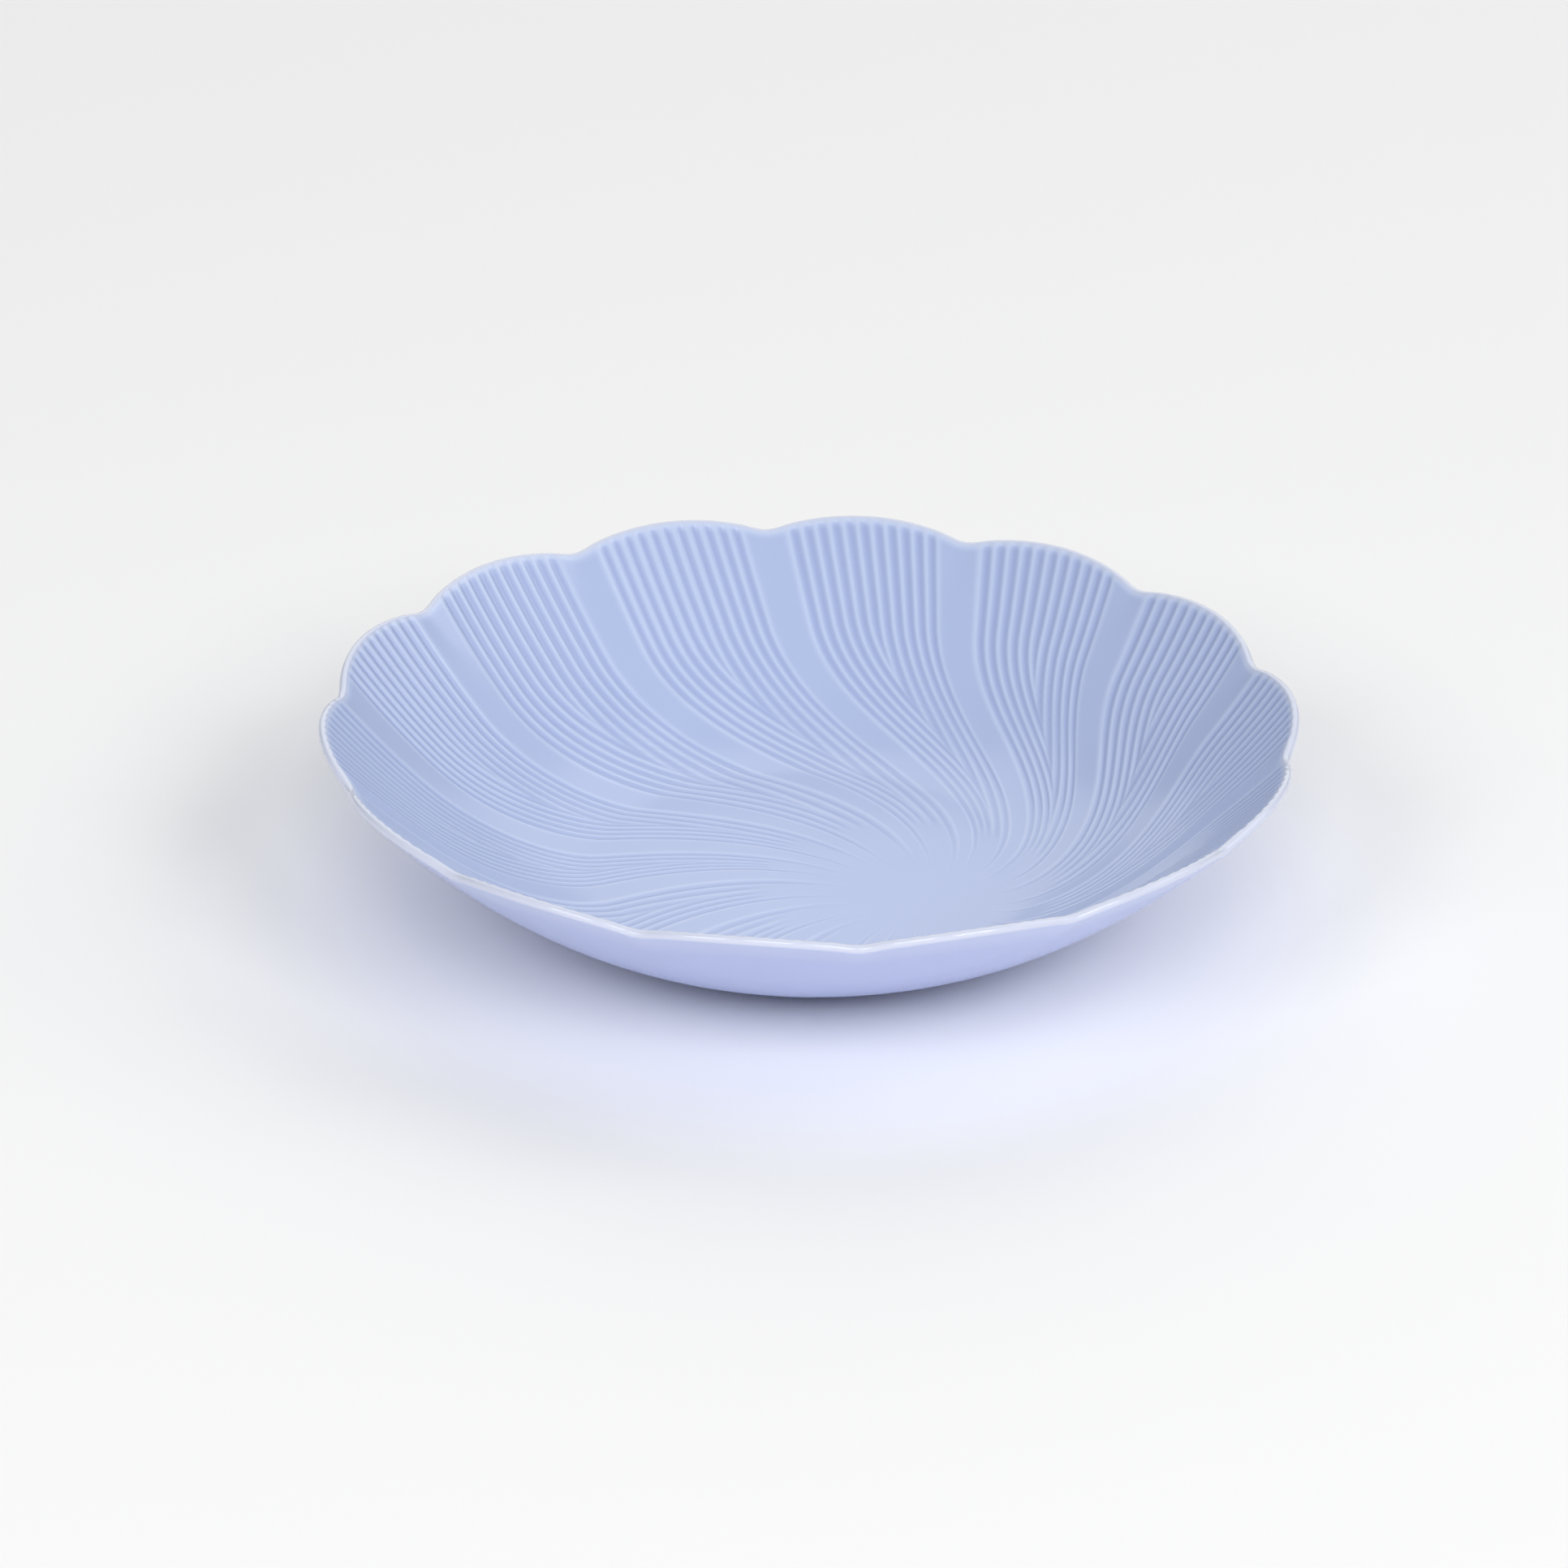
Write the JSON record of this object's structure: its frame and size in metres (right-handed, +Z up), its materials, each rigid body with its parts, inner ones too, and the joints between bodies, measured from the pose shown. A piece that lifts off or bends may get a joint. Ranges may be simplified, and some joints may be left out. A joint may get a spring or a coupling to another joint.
{
  "type": "soup plate",
  "caption": "Deep coupe soup plate in pale blue glaze, with a scalloped rim, swirling comb-cut fluting inside, a pale bare lip and a low foot ring.",
  "frame": {"origin": "on the table, under the centre of the plate, in the plane of the foot ring's flat face", "axes": "+Z up out of the bowl; +Y away from the picture's camera, +X to its right"},
  "size_m": [0.2294, 0.2292, 0.0465],
  "materials": {
    "fired_clay": "white fired body, glossy where the thin glaze runs over the lip, dry on the foot ring",
    "face_glaze": "glossy pale blue glaze, deeper in the grooves and paler on the ridges",
    "back_glaze": "glossy pale lilac blue glaze"
  },
  "bodies": {
    "root": {"ceramic_body": "fired_clay", "face_glaze": "face_glaze", "back_glaze": "back_glaze", "base_glaze": "back_glaze"}
  },
  "joints": []
}
